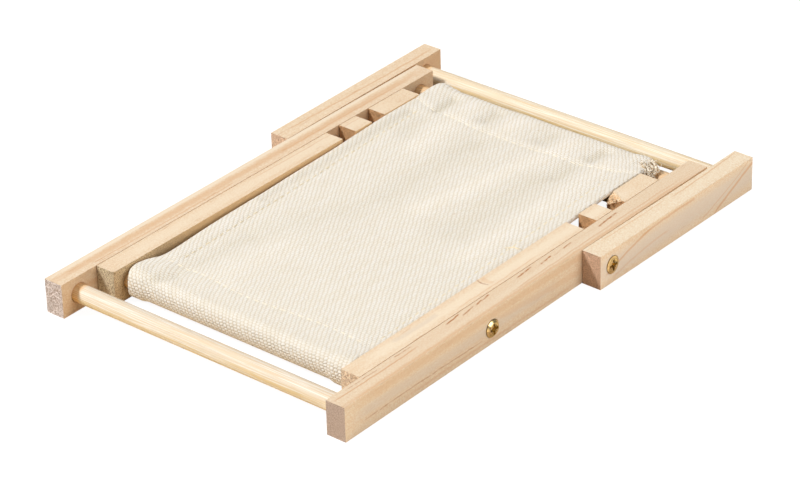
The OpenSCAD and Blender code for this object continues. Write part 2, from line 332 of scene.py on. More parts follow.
def dowel(node, shift, tone=(1.0, 1.0, 1.0)):
    """A turned bar of pale wood with its grain along X, fine white fibres and a golden underside,
    which is painted shade. Just before it enters its sockets it is tinted brown: painted shade of
    the rails.
    shift moves the grain's noise."""
    s = Shader("dowel_" + node)
    place = s.place_mm(shift)
    up = s.split(s.add("TexCoord").outputs["Normal"])[2]
    fibre = s.noise(place, (0.035, 4.5, 4.5), 4.0, 0.6)
    pores = s.noise(place, (0.05, 5.5, 5.5), 1.0, 0.4)
    pores = s.ramp(pores, (0.52, 0.0), (0.58, 1.0))
    flecks = s.noise(place, (0.30, 8.0, 8.0), 1.0, 0.4)
    flecks = s.ramp(flecks, (0.66, 0.0), (0.74, 1.0))
    broad = s.noise(place, (0.02, 0.35, 0.35), 2.0)
    color = s.mix(s.ramp(broad, (0.35, 0.0), (0.65, 1.0)),
                  (0.850, 0.770, 0.640), (0.845, 0.730, 0.570))
    color = s.mix(s.ramp(fibre, (0.38, 0.6), (0.56, 0.0)), color, (0.800, 0.570, 0.320))
    # Painted shade: the underside is more golden.
    below = s.scaled(up, -0.5, 0.5)
    color = s.mix(s.ramp(below, (0.22, 0.0), (0.56, 0.85)), color, (0.810, 0.645, 0.335))
    color = s.mix(s.times(pores, 0.85), color, (0.960, 0.930, 0.870))
    color = s.mix(s.times(flecks, 0.35), color, (0.760, 0.540, 0.300))
    mouth = size(node).x / 2 / MM - SOCKET_MM
    from_middle = s.math("ABSOLUTE", s.split(s.place_mm())[0])
    # Painted shade: the bar is tinted brown just before its sockets, where the rails shade it.
    stain_and_shade = s.share(from_middle, mouth - 2.6, mouth - 1.4)
    color = s.tint(color, s.mix(stain_and_shade, tone, (0.960, 0.700, 0.430)))
    height = s.minus(fibre, s.times(pores, 0.5))
    roughness = s.scaled(fibre, 0.2, 0.42)
    return s.finish(color, roughness, height, 0.05 * MM, Specular_IOR_Level=0.4)


# The radius at which a screw's dark rings, a turned ring and painted shade, end, just outside its
# head.
HEAD_MM = 2.6


def zinc_brass(name, centre):
    """Yellow zinc plating: satin brass that drifts towards rose, with stains, dark rings and a
    painted bluish glint in the recess. The dark rings are a turned ring and painted shade in the
    recess and round the head's edge. centre lies on the axis of the screws."""
    s = Shader(name)
    place = s.place_mm()
    parts = s.split(place)
    off_y = s.minus(parts[1], centre.y / MM)
    off_z = s.minus(parts[2], centre.z / MM)
    radius = s.math("SQRT", s.math("ADD", s.times(off_y, off_y), s.times(off_z, off_z)))
    outward = s.math("DIVIDE", radius, HEAD_MM)
    drift = s.noise(place, 0.55, 2.0)
    color = s.mix(s.ramp(drift, (0.35, 0.0), (0.65, 1.0)),
                  (0.960, 0.800, 0.400), (0.940, 0.730, 0.420))
    # Dark rings: a turned ring on the head, and painted shade in the recess and where the head meets
    # the wood.
    rings_and_shade = s.ramp(outward, (0.0, 0.5), (0.45, 0.1), (0.62, 0.0), (0.74, 0.55), (0.80, 0.0),
                   (0.93, 0.0), (0.985, 0.9))
    stain_and_shade = s.ramp(s.noise(place, 1.6, 3.0, 0.6), (0.46, 0.0), (0.64, 0.5))
    color = s.mix(s.math("MAXIMUM", rings_and_shade, stain_and_shade), color, (0.260, 0.150, 0.040))
    # Painted reflection: a bluish glint in the recess.
    painted_glint = s.ramp(s.noise(place, 1.1, 1.0), (0.50, 0.0), (0.60, 0.8))
    painted_glint = s.times(painted_glint, s.ramp(outward, (0.30, 1.0), (0.45, 0.0)))
    color = s.mix(painted_glint, color, (0.600, 0.700, 0.780))
    scuffs = s.noise(place, (6.0, 6.0, 6.0), 3.0, 0.6)
    roughness = s.scaled(scuffs, 0.22, 0.10)
    return s.finish(color, roughness, scuffs, 0.015 * MM, Metallic=1.0)


def shaded_whole_face(kind, face, start, end, strength):
    """Painted warm shade over the whole height of a side from one Y to another, in millimetres, on a
    face that lies in a gap between rails or in shade under the sling.
    """
    return kind, face, (start, 5.0), (end, 5.0), 0.0, 12.0, strength


# The marks of each rail, as mark() takes them: kind, face, start, end, bend, half width, strength.
BACK_RIGHT_MARKS = [
    ("orange", "side", (-80, 8.6), (60, 8.3), 0.0, 1.6, 0.48),
    ("grey", "side", (-80, 5.4), (4, 4.6), 0.0, 2.2, 0.48),
    ("orange", "side", (-24, 6.6), (34, 3.0), -0.4, 1.3, 0.36),
    ("dash", "side", (-76, 2.8), (-27, 2.6), 0.3, 0.28, 0.60),
    ("line", "side", (-60, 1.4), (10, 1.0), 0.2, 0.50, 0.35),
    ("line", "top", (-82, 47.0), (-49, 47.2), 0.2, 0.30, 0.70),
    ("pale", "top", (-78, 48.6), (40, 48.2), 0.2, 1.00, 0.25),
    ("orange", "top", (-86, 50.5), (66, 50.5), 0.0, 0.8, 0.60),
    ("dash", "top", (-76.0, 46.0), (-63.0, 46.1), 0.0, 0.22, 0.7),
    ("dash", "top", (-57.0, 45.7), (-50.0, 45.9), 0.0, 0.24, 0.8),
    ("dash", "top", (-37.2, 46.4), (-31.0, 45.6), 0.0, 0.38, 1.0),
    ("dash", "top", (-31.0, 46.8), (-25.8, 46.2), 0.0, 0.32, 0.95),
    ("dash", "top", (-25.0, 46.3), (-18.8, 45.6), 0.0, 0.38, 1.0),
    ("dash", "top", (-8.0, 46.4), (-1.0, 45.7), 0.0, 0.40, 1.0),
    ("dash", "top", (1.2, 47.0), (6.4, 46.2), 0.0, 0.36, 1.0),
    ("dash", "top", (11.2, 46.8), (15.0, 46.3), 0.0, 0.34, 0.9),
    ("dash", "top", (25.8, 47.1), (35.2, 46.4), 0.0, 0.40, 1.0),
    ("line", "top", (-16, 49.6), (60, 49.2), -0.3, 0.35, 0.40),
    shaded_whole_face("orange", "left", -70, 52, 0.50),
    shaded_whole_face("orange", "right", 11, 80, 0.50),
]
PROP_RIGHT_MARKS = [
    ("grey", "side", (10, 4.6), (90, 5.4), 0.0, 4.6, 0.70),
    ("flame", "side", (15.4, 3.3), (36, 8.8), 0.5, 0.55, 0.60),
    ("flame", "side", (30, 8.1), (56, 8.9), 0.5, 0.50, 0.50),
    ("flame", "side", (18, 1.2), (44, 4.6), 0.8, 0.50, 0.30),
    ("flame", "side", (64, 0.2), (83, 8.8), 0.2, 0.70, 0.65),
    ("flame", "side", (58, 1.0), (80, 9.6), -0.6, 0.35, 0.40),
    ("pale", "top", (14, 55.0), (84, 55.2), 0.4, 2.20, 0.20),
    ("line", "top", (50, 53.2), (82, 52.4), 0.3, 0.30, 0.55),
    ("line", "top", (20, 52.2), (48, 52.6), 0.1, 0.25, 0.45),
    shaded_whole_face("orange", "left", 11, 90, 0.50),
]
SEAT_RIGHT_MARKS = [
    ("pale", "top", (-66, 41.6), (50, 41.8), 0.3, 2.30, 0.60),
    ("crack", "cross", (38.0, -14.4), (42.8, -14.8), -0.9, 0.28, 1.0),
    ("orange", "cross", (39.0, -13.0), (43.0, -13.4), -0.9, 1.20, 0.35),
    ("line", "top", (-30, 43.6), (4, 43.4), 0.2, 0.25, 0.40),
    ("grey", "top", (-52, 40.6), (-34, 41.2), 0.4, 1.20, 0.45),
    shaded_whole_face("orange", "right", -72, 58, 0.50),
]
BACK_LEFT_MARKS = [
    ("pale", "top", (-86, -50.2), (74, -50.4), 0.0, 1.10, 0.90),
    ("orange", "top", (-86, -48.2), (70, -47.8), 0.0, 1.50, 0.55),
    ("line", "top", (-70, -46.6), (-12, -46.2), 0.2, 0.35, 0.45),
    ("line", "top", (6, -47.4), (60, -47.0), -0.2, 0.30, 0.40),
    ("orange", "side", (-80, 6.0), (-20, 3.5), 0.4, 1.20, 0.50),
    shaded_whole_face("orange", "right", -68, 56, 0.50),
    shaded_whole_face("orange", "left", 11, 80, 0.50),
]
SEAT_LEFT_MARKS = [
    ("pale", "top", (-66, -42.0), (50, -42.0), 0.0, 2.60, 0.45),
    ("line", "top", (-10, -43.6), (40, -43.2), 0.2, 0.25, 0.40),
    shaded_whole_face("orange", "left", -72, 58, 0.50),
    shaded_whole_face("warm_shade", "right", -90, 70, 0.85),
]
PROP_LEFT_MARKS = [
    ("line", "top", (16, -54.8), (82, -54.0), 0.3, 0.40, 0.50),
    ("flame", "side", (18, 2.0), (60, 7.0), 0.6, 0.60, 0.40),
    shaded_whole_face("orange", "right", 11, 90, 0.50),
]


def dress_frame():
    """Materials for the wooden parts and the screws, and eased edges for the rails."""
    looks = {
        "back_rail_left": pine("pine_back_left", (3, 11, 2), (-60, -22), ring_mm=2.8, late=0.18,
                               tone=(0.95, 0.93, 0.90), top_tone=(0.98, 0.97, 0.97),
                               end_tone=(1.27, 1.47, 1.85), marks=BACK_LEFT_MARKS),
        "back_rail_right": pine("pine_back_right", (-20, 47, 5), (18, -46), lean=0.03, late=0.2,
                                tone=(1.10, 1.20, 1.32), top_tone=(0.97, 0.97, 0.98),
                                end_tone=(0.93, 0.86, 0.84), marks=BACK_RIGHT_MARKS),
        "seat_rail_left": pine("pine_seat_left", (31, -20, 14), (20, 60), ring_mm=2.0, late=0.15,
                               rough_end=seat_near_end, notched=True, marks=SEAT_LEFT_MARKS),
        "seat_rail_right": pine("pine_seat_right", (-44, 83, 9), (-30, -52), ring_mm=3.1, late=0.10,
                                top_tone=(1.03, 1.04, 1.05), end_tone=(1.58, 1.60, 1.48),
                                pitted=0.25, notched=True, marks=SEAT_RIGHT_MARKS),
        "prop_rail_left": pine("pine_prop_left", (55, 31, -17), (70, -34),
                               end_tone=(1.40, 1.34, 1.28), marks=PROP_LEFT_MARKS),
        "prop_rail_right": pine("pine_prop_right", (-71, -64, 23), (-9, 8), lean=0.09, ring_mm=2.2,
                                late=0.05, tone=(1.16, 1.28, 1.44), top_tone=(1.04, 1.09, 1.13),
                                end_tone=(1.03, 0.80, 0.64), marks=PROP_RIGHT_MARKS),
        # The foot bar's tone is its own colour. The other bars' tones warm them all along: painted
        # warm shade, for they are seen mostly in shade.
        "foot_bar": dowel("foot_bar", (0, 3, 1), (0.945, 0.915, 0.875)),
        "top_bar": dowel("top_bar", (40, 9, 7), (0.98, 0.80, 0.60)),
        "seat_front_bar": dowel("seat_front_bar", (80, 2, 4), (0.98, 0.84, 0.66)),
        "seat_rear_bar": dowel("seat_rear_bar", (120, 5, 9), (1.00, 0.82, 0.62)),
        "prop_bar": dowel("prop_bar", (160, 1, 6), (1.01, 0.965, 0.87)),
    }
    metal = {pair: zinc_brass("zinc_brass_" + pair, middle(pair + "_pivot_screw_right"))
             for pair in ("seat", "prop")}
    for name in nodes:
        if "screw" in name:
            looks[name] = metal[name.split("_")[0]]
    for name, material in looks.items():
        piece = nodes[name]
        piece.data.materials.clear()
        piece.data.materials.append(material)
        if "rail" in name:
            eased = piece.modifiers.new("eased edges", "BEVEL")
            eased.width = 0.16 * MM
            eased.segments = 2
            eased.angle_limit = math.radians(50)


# ---------------------------------------------------------------- canvas sling

# The twill's beads are this long, in rows this wide.
BEAD_MM = 1.281
ROW_MM = 0.712
# The mesh's squares, the cloth's thickness, the radius of its middle round the bars, and the
# height of its middle between them.
GRID = 0.64 * MM
cloth_t = 0.6 * MM
sleeve_r = bar_r + 0.77 * MM
sheet_z = front_bar.z + sleeve_r
# Half the sling's width, the radius of a side hem's rolled edge, the hem's width, how far a
# sleeve's raw edge reaches beyond its closing, and how far from the top bar its sleeve closes.
half_sling = 38 * MM
roll_r = 0.42 * MM
hem_width = 5.0 * MM
tail = 1.4 * MM
top_sleeve = 10 * MM
# Where the cloth's edges run: (Y, distance from the middle), in millimetres.
LEFT_EDGE = ((-67, 35.6), (-65.5, 36.8), (-63, 37.9), (-60, 38.3), (-57, 37.9), (-54, 36.5),
             (-52, 36.0), (-46, 36.3), (-36, 36.9), (-18, 37.4), (0, 38.0), (25, 38.5), (56, 38.9),
             (62, 38.7), (66, 37.6), (68, 36.4))
RIGHT_EDGE = ((-67, 37.0), (-64, 38.2), (-52, 38.0), (-20, 38.3), (20, 38.2), (40, 38.0),
              (56, 38.0), (60, 37.6), (63, 36.8), (66, 35.6), (68, 34.6))
# Folds of the stretched cloth, in millimetres: X and Y of both ends, half width, and height above
# the flat cloth, which is below zero in a valley.
FOLDS = (
    (-29.8, 61.0, -29.5, 54.0, 1.8, -1.0), (-14.8, 61.5, -15.0, 57.0, 2.4, -0.7),
    (5.6, 61.0, 5.2, 57.0, 2.8, -0.55), (23.4, 61.0, 22.6, 56.0, 2.0, -0.85),
    (-8.8, 46.0, -9.4, 38.0, 4.2, -0.175), (-8.8, 44.0, -10.0, 8.0, 5.4, -0.375),
    (-12.5, -2.0, -24.0, -28.0, 5.6, -0.25), (-24.6, -32.0, -27.0, -56.0, 3.2, -0.375),
    (21.0, 50.0, 20.0, 43.0, 2.8, -0.55), (18.2, 38.0, 16.5, 4.0, 6.0, -0.4),
    (-30.0, 46.0, -28.5, 38.0, 3.4, -0.4), (-35.3, 48.0, -35.0, -14.0, 1.5, -0.525),
    (-22.0, 60.0, -20.5, 34.0, 4.2, 0.275), (-6.0, 61.0, -6.0, 57.0, 3.4, 0.35),
    (13.5, 60.0, 2.5, 8.0, 3.8, 0.325), (28.5, 58.0, 28.0, -4.0, 4.0, 0.3),
    (-14.0, -30.0, -16.0, -48.0, 5.0, 0.175), (-26.5, -58.5, -29.0, -64.0, 1.6, -0.4),
)


def canvas(name):
    """Coarse twill of round beads. The attribute "weave" holds the place on the flat cloth in
    millimetres. "fold" is above 0 on a ridge, which is painted paler as a painted highlight, and
    below 0 in a valley, which is painted greyer as painted shade. "bent" is 1 where the cloth goes
    round a bar, and there the beads stand apart. The gaps between the beads are painted shade."""
    s = Shader(name)
    flat = s.add("Attribute", attribute_name="weave").outputs["Vector"]
    fold = s.add("Attribute", attribute_name="fold").outputs["Fac"]
    bent = s.add("Attribute", attribute_name="bent").outputs["Fac"]
    sway = s.add("TexNoise", {"Vector": flat, "Scale": 0.35, "Detail": 2.0}).outputs["Color"]
    sway = s.split(sway)
    jitter = s.noise(flat, 1.3, 1.0)
    across = s.scaled(sway[0], 0.8, s.split(flat)[0])
    along = s.scaled(sway[1], 0.8, s.split(flat)[1])
    along = s.scaled(jitter, 0.42, along)
    rows = s.math("DIVIDE", along, ROW_MM)
    row = s.math("FLOOR", rows)
    v = s.minus(s.math("FRACT", rows), 0.5)
    beads = s.math("DIVIDE", s.scaled(row, BEAD_MM / 3, across), BEAD_MM)
    u = s.minus(s.math("FRACT", beads), 0.5)
    chance = s.add("CombineXYZ", {0: s.math("FLOOR", beads), 1: row}).outputs[0]
    chance = s.add("TexWhiteNoise", {"Vector": chance}, noise_dimensions="2D").outputs[0]
    round_v = s.minus(1.0, s.times(s.times(v, v), 3.4))
    reach = s.math("POWER", s.math("DIVIDE", s.math("ABSOLUTE", u), 0.47), 3.0)
    round_u = s.minus(1.0, reach, clamp=True)
    bead = s.times(round_v, round_u, clamp=True)
    hairs = s.noise(flat, (2.4, 9.0, 1.0), 3.0, 0.6)
    height = s.times(bead, s.scaled(chance, 0.6, 0.6))
    height = s.times(height, s.scaled(bent, 0.9, 1.0))
    height = s.scaled(hairs, 0.22, height)
    tint = s.noise(flat, (0.9, 0.12, 1.0), 3.0)
    color = s.mix(s.ramp(tint, (0.35, 0.0), (0.65, 1.0)),
                  (0.835, 0.783, 0.690), (0.865, 0.828, 0.763))
    color = s.mix(s.times(chance, 0.22), color, (0.930, 0.900, 0.845))
    # Painted shade: the gaps between the beads are darker and browner, more so where the cloth is
    # bent.
    gap = s.ramp(bead, (0.02, 0.74), (0.44, 0.0))
    wide_gap = s.ramp(bead, (0.05, 1.0), (0.55, 0.0))
    gap = s.math("MAXIMUM", gap, s.times(wide_gap, s.times(bent, 0.8)))
    color = s.mix(gap, color, (0.610, 0.490, 0.320))
    slub = s.ramp(s.noise(flat, (0.8, 0.9, 1.0), 1.0), (0.76, 0.0), (0.80, 0.6))
    color = s.mix(slub, color, (0.520, 0.370, 0.210))
    # Painted shade in the valleys of the folds, and a painted highlight on their ridges.
    valley = s.times(fold, -1.0, clamp=True)
    color = s.mix(valley, color, s.tint(color, (0.870, 0.860, 0.820)))
    ridge = s.times(fold, 2.4, clamp=True)
    color = s.mix(ridge, color, s.tint(color, (1.075, 1.075, 1.080)))
    return s.finish(color, 0.92, height, 0.105 * MM, Specular_IOR_Level=0.15,
                    Sheen_Weight=0.10, Sheen_Roughness=0.5)


def smooth_step(low, high, value):
    t = np.clip((value - low) / (high - low), 0, 1)
    return t * t * (3 - 2 * t)


def bump_at(value, place, width):
    return np.exp(-((value - place) / width) ** 2)


def edge_at(y, knots):
    """The cloth's half width in metres at y, softly through the knots."""
    places, widths = np.array(knots, float).T * MM
    shifts = np.linspace(-1.2, 1.2, 7) * MM
    return sum(np.interp(y + shift, places, widths) for shift in shifts) / len(shifts)


def upper_row(x):
    """Y of the upper row of stitches, which curves towards the far end at both sides."""
    return upper_row_y + 5.2 * MM * (np.abs(x + 2 * MM) / (40 * MM)) ** 2.6


def lower_row(x):
    """Y of the lower row of stitches, which waves a little."""
    return lower_row_y + 0.8 * MM * np.cos(2 * math.pi * (x / MM - 21) / 48)


def side_row(y, side):
    """X of a row of stitches along a side hem, which slants. share is 0 at Y -45 mm, 1 at 45."""
    share = (y / MM + 45) / 90
    return np.where(side < 0, -31.1 - 2.9 * share, 36.0 - 3.2 * share) * MM


def folds(x, y):
    """Height of all the folds at a place, in millimetres."""
    total = 0.0 * x * y
    for x1, y1, x2, y2, half_width, height in FOLDS:
        run_x, run_y = (x2 - x1) * MM, (y2 - y1) * MM
        from_x, from_y = x - x1 * MM, y - y1 * MM
        share = np.clip((from_x * run_x + from_y * run_y) / (run_x ** 2 + run_y ** 2), 0, 1)
        off = np.hypot(from_x - share * run_x, from_y - share * run_y)
        total = total + height * bump_at(off, 0, half_width * MM)
    return total


def sling_relief(x, y):
    """How far the single top sheet stands above its flat place: hems, folds, puckers and waves."""
    side = np.where(x < 0, -1, 1)
    edge = np.where(x < 0, edge_at(y, LEFT_EDGE), edge_at(y, RIGHT_EDGE))
    inside = edge - np.abs(x)
    row = np.abs(side_row(y, side))
    hem = smooth_step(-0.6 * MM, 0.9 * MM, np.abs(x) - row)
    between_rows = (y > lower_row(x) + 3 * MM) & (y < upper_row(x) - 3 * MM)
    # The side hems are thicker, and their stitches pull them down.
    rise = 0.30 * MM * hem
    rise = rise - 0.12 * MM * bump_at(np.abs(x), row, 0.7 * MM) * between_rows
    # The far half lies higher, most of all along its edges and on the sleeve, but the sleeve's
    # right corner hangs.
    far = smooth_step(5 * MM, 48 * MM, y)
    rise = rise + 0.45 * MM * far
    rise = rise + 0.40 * MM * far * smooth_step(3.5 * MM, 0.5 * MM, inside)
    rise = rise + 0.25 * MM * smooth_step(-1 * MM, 2 * MM, y - upper_row(x))
    rise = rise - 1.1 * MM * smooth_step(31 * MM, 38 * MM, x) * smooth_step(56 * MM, 63 * MM, y)
    rise = rise + MM * folds(x, y)
    # Both rows of stitches pull the cloth down.
    rise = rise - 0.14 * MM * bump_at(y, upper_row(x), 0.9 * MM)
    rise = rise - 0.12 * MM * bump_at(y, lower_row(x), 1.1 * MM)
    # A slanting pucker beside the lower row: a valley between two ridges.
    pucker_x, pucker_y, slant = -27.5 * MM, -59 * MM, 0.31
    pucker = (x - pucker_x) - (y - pucker_y) * slant
    near = bump_at(y, pucker_y, 6 * MM)
    rise = rise + near * MM * (-0.42 * bump_at(pucker, 0, 1.3 * MM)
                               + 0.16 * bump_at(pucker, -3.2 * MM, 1.8 * MM)
                               + 0.14 * bump_at(pucker, 3.0 * MM, 1.8 * MM))
    # Small waves all over.
    waves = 0.06 * np.sin(x / (3.7 * MM) + 0.7 * np.sin(y / (17 * MM))) * np.cos(y / (31 * MM) + 1)
    waves = waves + 0.05 * np.sin(y / (5.3 * MM) + 1.3 * np.sin(x / (11 * MM)))
    return rise + waves * MM


def section():
    """The path of the cloth's middle in Y and Z, from one raw edge round both bars to the other.
    Each point is (y, z, outward y, outward z, share of the top sheet, share of the far sleeve)."""

    def sleeve(bar_y, hem, towards, far):
        """One end: from the raw edge round the bar to its top. hem is how far from the bar the
        sleeve closes, and towards is +1 if the sheet goes to +Y from this bar."""
        r = sleeve_r
        points = []
        # The raw edge lies a little more than the cloth's thickness below the top sheet.
        close = Vector((hem, sleeve_r - cloth_t * 1.05))
        turn = math.atan2(close.y, close.x) - math.acos(r / close.length)
        touch = Vector((math.cos(turn), math.sin(turn))) * r
        for i in range(int(tail / GRID), 0, -1):
            points.append((hem + i * GRID, close.y, 0.0, -1.0, 0.0))
        straight = close - touch
        count = max(2, round(straight.length / GRID))
        out = Vector((straight.y, -straight.x)).normalized()
        for i in range(count):
            p = close - straight * (i / count)
            points.append((p.x, p.y, out.x, out.y, 0.0))
        sweep = turn + 1.5 * math.pi
        count = max(8, round(sweep * r / GRID))
        for i in range(count + 1):
            a = turn - sweep * i / count
            top_share = max(0.0, math.sin(a)) ** 2 if math.cos(a) < 0.2 else 0.0
            points.append((r * math.cos(a), r * math.sin(a), math.cos(a), math.sin(a),
                           top_share if i > count / 2 else 0.0))
        return [(bar_y + towards * y, front_bar.z + z, towards * ny, nz, top, far)
                for y, z, ny, nz, top in points]

    low = sleeve(front_bar.y, lower_row_y - front_bar.y, 1, 0.0)
    high = sleeve(top_bar.y, top_sleeve, -1, 1.0)
    gap = top_bar.y - front_bar.y
    count = round(gap / GRID)
    sheet = [(front_bar.y + gap * i / count, sheet_z, 0.0, 1.0, 1.0, 0.0) for i in range(1, count)]
    return np.array(low + sheet + high[::-1])


def across():
    """Places across the cloth: (share of the half width, distance in from the edge, drop below
    the top layer, place on the flat cloth)."""
    half = round(half_sling / GRID)
    turn = np.linspace(0, math.pi, 7)
    roll = math.pi * roll_r
    right = [(i / half, roll_r, 0.0, i * GRID) for i in range(half + 1)]
    start = half * GRID
    right += [(1.0, roll_r * (1 - math.sin(a)), roll_r * (1 - math.cos(a)), start + roll_r * a)
              for a in turn[1:]]
    count = round((hem_width - roll_r) / GRID)
    right += [(1.0, roll_r + i * GRID, 2 * roll_r, start + roll + i * GRID)
              for i in range(1, count + 1)]
    left = [(-share, inset, drop, -flat) for share, inset, drop, flat in right[:0:-1]]
    return np.array(left + right)


def make_mesh(name, points, faces, material):
    mesh = bpy.data.meshes.new(name)
    mesh.from_pydata(points, [], faces)
    mesh.materials.append(material)
    mesh.shade_smooth()
    piece = bpy.data.objects.new(name, mesh)
    bpy.context.scene.collection.objects.link(piece)
    return piece


def follow_the_fold(piece):
    """Bakes the piece's place into its mesh."""
    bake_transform(piece)


def thick_sheet(grid):
    """Points and faces of a closed sheet as thick as the cloth, whose middle is a grid of points."""
    rows, columns = grid.shape[:2]
    along = np.gradient(grid, axis=0)
    over = np.gradient(grid, axis=1)
    normal = np.cross(over, along)
    normal /= np.maximum(np.linalg.norm(normal, axis=-1, keepdims=True), 1e-12)
    outer = grid + normal * cloth_t / 2
    inner = grid - normal * cloth_t / 2
    points = np.concatenate([outer.reshape(-1, 3), inner.reshape(-1, 3)])
    index = np.arange(rows * columns).reshape(rows, columns)
    a, b, c, d = index[:-1, :-1], index[:-1, 1:], index[1:, 1:], index[1:, :-1]
    upper = np.stack([a, b, c, d], -1).reshape(-1, 4)
    lower = upper[:, ::-1] + rows * columns
    rim = np.concatenate([index[0, :], index[1:, -1], index[-1, -2::-1], index[-2:0:-1, 0]])
    rim_next = np.roll(rim, -1)
    border = np.stack([rim, rim + rows * columns, rim_next + rows * columns, rim_next], -1)
    return points.tolist(), np.concatenate([upper, lower, border]).tolist()


def canvas_sling():
    """One piece of canvas: side edges rolled under, a sewn sleeve at each end."""
    path, wide = section(), across()
    y0, z0, ny, nz, top, far = (path[:, i][:, None] for i in range(6))
    share, inset, drop, flat_x = (wide[:, i][None, :] for i in range(4))
    walked = np.concatenate([[0], np.cumsum(np.hypot(*np.diff(path[:, :2], axis=0).T))])[:, None]
    side = np.where(share < 0, -1, 1)
    edge = np.where(side < 0, edge_at(y0, LEFT_EDGE), edge_at(y0, RIGHT_EDGE))
    x0 = np.where(np.abs(share) < 1, share * (edge - roll_r), side * (edge - inset))
    y_all = y0 + 0 * x0
    # Round the bars the rolled side hems need more room than the single cloth.
    thick = smooth_step(hem_width + 1.5 * MM, hem_width - 1.0 * MM, edge - np.abs(x0))
    hem_room = roll_r * thick + 0.1 * MM
    sleeve_lift = roll_r * thick + far * 0.35 * MM
    lift = top * sling_relief(x0, y_all) + (1 - top) * sleeve_lift
    sheet = (np.abs(nz) > 0.99) & (top > 0.99) & (y_all > front_bar.y) & (y_all < top_bar.y)
    near_bar = bump_at(y_all, front_bar.y, 4 * MM) + bump_at(y_all, top_bar.y, 4 * MM)
    lift = lift + sheet * near_bar * hem_room
    lift = lift + (~sheet) * top * hem_room
    lift = lift - drop
    grid = np.stack([x0, y0 + ny * lift, z0 + nz * lift], axis=-1)
    sling = make_mesh("canvas_sling", *thick_sheet(grid), canvas("canvas"))
    weave = np.stack([flat_x / MM + 0 * y0, walked / MM + 0 * x0, 0 * x0], -1).reshape(-1, 3)
    weave = np.concatenate([weave, weave]).astype(np.float32)
    stored = sling.data.attributes.new("weave", "FLOAT_VECTOR", "POINT")
    stored.data.foreach_set("vector", weave.ravel())
    bent = smooth_step(0.96, 0.6, nz) + 0 * x0
    # Painted shade on the top of the front sleeve, like that of a shallow valley.
    shaded = top * (folds(x0, y_all) - 0.22 * bump_at(y_all, front_bar.y - 1 * MM, 3 * MM))
    for key, values in (("fold", shaded), ("bent", bent)):
        values = np.concatenate([values.ravel(), values.ravel()]).astype(np.float32)
        sling.data.attributes.new(key, "FLOAT", "POINT").data.foreach_set("value", values)
    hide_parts("sling_seat_panel", "sling_back_panel")
    follow_the_fold(sling)


def cloth_top(x, y):
    """Height of the cloth's upper surface."""
    return sheet_z + float(sling_relief(np.array(x), np.array(y))) + cloth_t / 2


# ---------------------------------------------------------------- stitches

def thread_material(name, tone):
    s = Shader(name)
    place = s.place_mm()
    twist = s.noise(place, (5.0, 5.0, 5.0), 2.0)
    color = s.mix(twist, (0.930, 0.850, 0.680), (0.965, 0.915, 0.790))
    color = s.tint(color, tone)
    return s.finish(color, 0.7, twist, 0.03 * MM, Sheen_Weight=0.1)


def tube(points, radius, sides=8, taper=True):
    """Points and faces of a closed round tube along the points, thinner at its ends if tapered."""
    line = np.array(points, float)
    run = np.gradient(line, axis=0)
    run /= np.linalg.norm(run, axis=1, keepdims=True)
    side = np.cross(run, (0.0, 0.0, 1.0))
    side /= np.maximum(np.linalg.norm(side, axis=1, keepdims=True), 1e-9)
    up = np.cross(side, run)
    angles = np.linspace(0, 2 * math.pi, sides, endpoint=False)
    share = np.ones(len(line))
    if taper:
        share = np.sin(np.linspace(0.12, math.pi - 0.12, len(line))) ** 0.35
    rings_and_shade = line[:, None] + radius * share[:, None, None] * (
        np.cos(angles)[None, :, None] * side[:, None] + np.sin(angles)[None, :, None] * up[:, None])
    shape = rings_and_shade.reshape(-1, 3).tolist()
    faces = []
    for i in range(len(line) - 1):
        for j in range(sides):
            k = (j + 1) % sides
            faces.append((i * sides + j, i * sides + k, (i + 1) * sides + k, (i + 1) * sides + j))
    faces.append(tuple(range(sides))[::-1])
    faces.append(tuple((len(line) - 1) * sides + j for j in range(sides)))
    return shape, faces


def join(parts):
    """One list of points and one of faces from several."""
    points, faces = [], []
    for shape, quads in parts:
        faces += [tuple(v + len(points) for v in quad) for quad in quads]
        points += shape
    return points, faces


def stitch_row(name, replaced, body, path, span, radius, seed, material, loose=()):
    """A row of stitches on the cloth. path(t) gives (x, y) for t in metres over span. The row rides
    on body, or if that is None, it only has its place baked into its mesh. loose holds the places in
    millimetres of a thread end that lies on the cloth."""
    rng = random.Random(seed)
    pitch, length = 2.8 * MM, 2.1 * MM
    # The middle of a stitch lies this high on the cloth, and its ends sink this deep.
    proud, deep = 0.07, 0.42
    count = int((span[1] - span[0]) / pitch)
    parts = []
    for i in range(count):
        start = span[0] + i * pitch + rng.uniform(-0.12, 0.12) * MM
        stitch_l = length * rng.uniform(0.92, 1.06)
        line = []
        for k in range(9):
            t = k / 8
            x, y = path(start + t * stitch_l)
            sunk = deep * abs(2 * t - 1) ** 5
            line.append((x, y, cloth_top(x, y) + (proud - sunk) * MM))
        parts.append(tube(line, radius))
    if loose:
        places = [(x * MM, y * MM) for x, y in loose]
        parts.append(tube([(x, y, cloth_top(x, y) + 0.1 * MM) for x, y in places], 1.3 * radius))
    row = make_mesh(name, *join(parts), material)
    if body:
        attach(row, body)
    else:
        follow_the_fold(row)
    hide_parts(*replaced)


# A thread end beside the right side hem: (X, Y) in millimetres.
LOOSE_END = ((33.2, 3.8), (34.0, 4.9), (35.0, 5.3), (36.2, 5.2), (37.2, 5.6))


